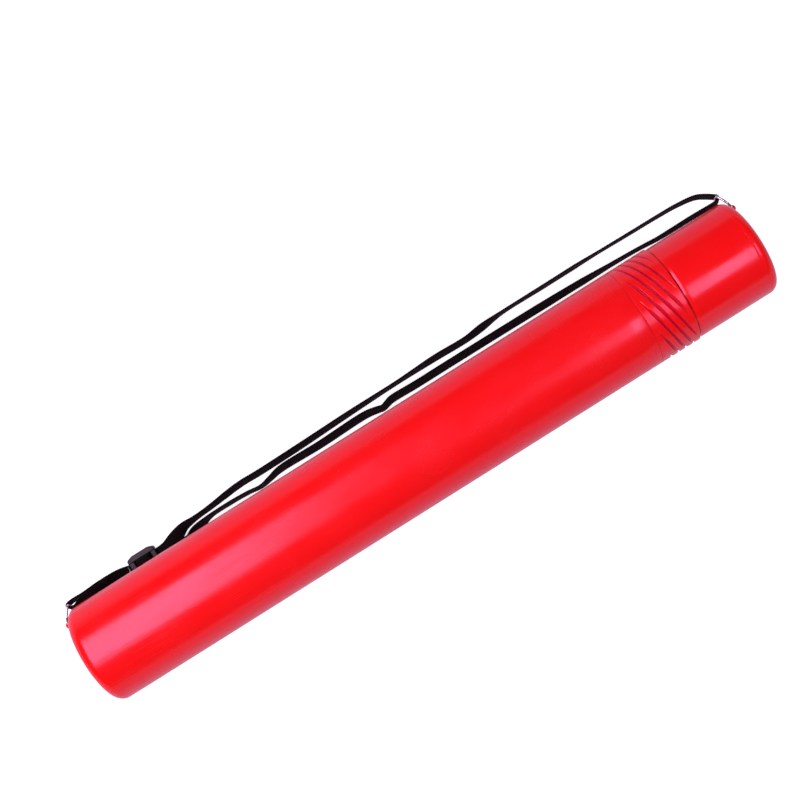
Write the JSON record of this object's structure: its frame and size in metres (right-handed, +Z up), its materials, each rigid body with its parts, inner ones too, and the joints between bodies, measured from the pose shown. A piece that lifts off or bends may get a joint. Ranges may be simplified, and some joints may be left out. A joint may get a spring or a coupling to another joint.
{
  "type": "telescopic poster tube",
  "caption": "Round telescopic plastic tube for rolled posters and drawings, with a ribbed twist collar, a push-on end cap and an adjustable webbing shoulder strap on wire rings.",
  "frame": {"origin": "middle of the closed base's end face, on the tube's axis", "axes": "+X along the tube from the base to the cap, +Z up as the tube lies, +Y towards the side where the strap lies"},
  "size_m": [0.5128, 0.0838, 0.068],
  "materials": {
    "red_body": "glossy",
    "red_collar": "glossy, ribbed",
    "red_inner": "glossy",
    "red_cap": "glossy",
    "ring_wire": "bright nickel plate",
    "slider_plastic": "satin moulded",
    "webbing": "ribbed woven webbing"
  },
  "bodies": {
    "outer": {"outer_tube": "red_body", "strap_slider": "slider_plastic", "strap_base_end": "webbing", "strap_outer_strand": "webbing", "strap_inner_strand": "webbing"},
    "collar": {"twist_collar": "red_collar"},
    "inner": {"inner_tube": "red_inner", "strap_outer_end": "webbing", "strap_inner_end": "webbing"},
    "cap": {"cap": "red_cap", "strap_cap_loop": "webbing"},
    "base_ring": {"base_ring": "ring_wire"},
    "cap_ring": {"cap_ring": "ring_wire"}
  },
  "joints": [
    {"name": "extension", "type": "slide", "parent": "outer", "child": "inner", "axis": [1, 0, 0], "range_m": [0, 0.3], "deforming": ["strap_outer_strand", "strap_inner_strand"]},
    {"name": "collar_twist", "type": "hinge", "parent": "outer", "child": "collar", "pos_m": [0.425, 0, 0], "axis": [1, 0, 0], "range_deg": [0, 40]},
    {"name": "cap_pull", "type": "slide", "parent": "inner", "child": "cap", "axis": [1, 0, 0], "range_m": [0, 0.06], "deforming": ["strap_outer_end", "strap_inner_end"]},
    {"name": "base_ring_swing", "type": "hinge", "parent": "outer", "child": "base_ring", "pos_m": [-0.004, 0.0256, -0.00686], "axis": [0, 0.2588, 0.9659], "range_deg": [0, 60], "deforming": ["strap_base_end"]},
    {"name": "cap_ring_swing", "type": "hinge", "parent": "cap", "child": "cap_ring", "pos_m": [0.504, 0.0256, -0.00686], "axis": [0, -0.2588, -0.9659], "range_deg": [0, 60], "deforming": ["strap_cap_loop"]}
  ]
}
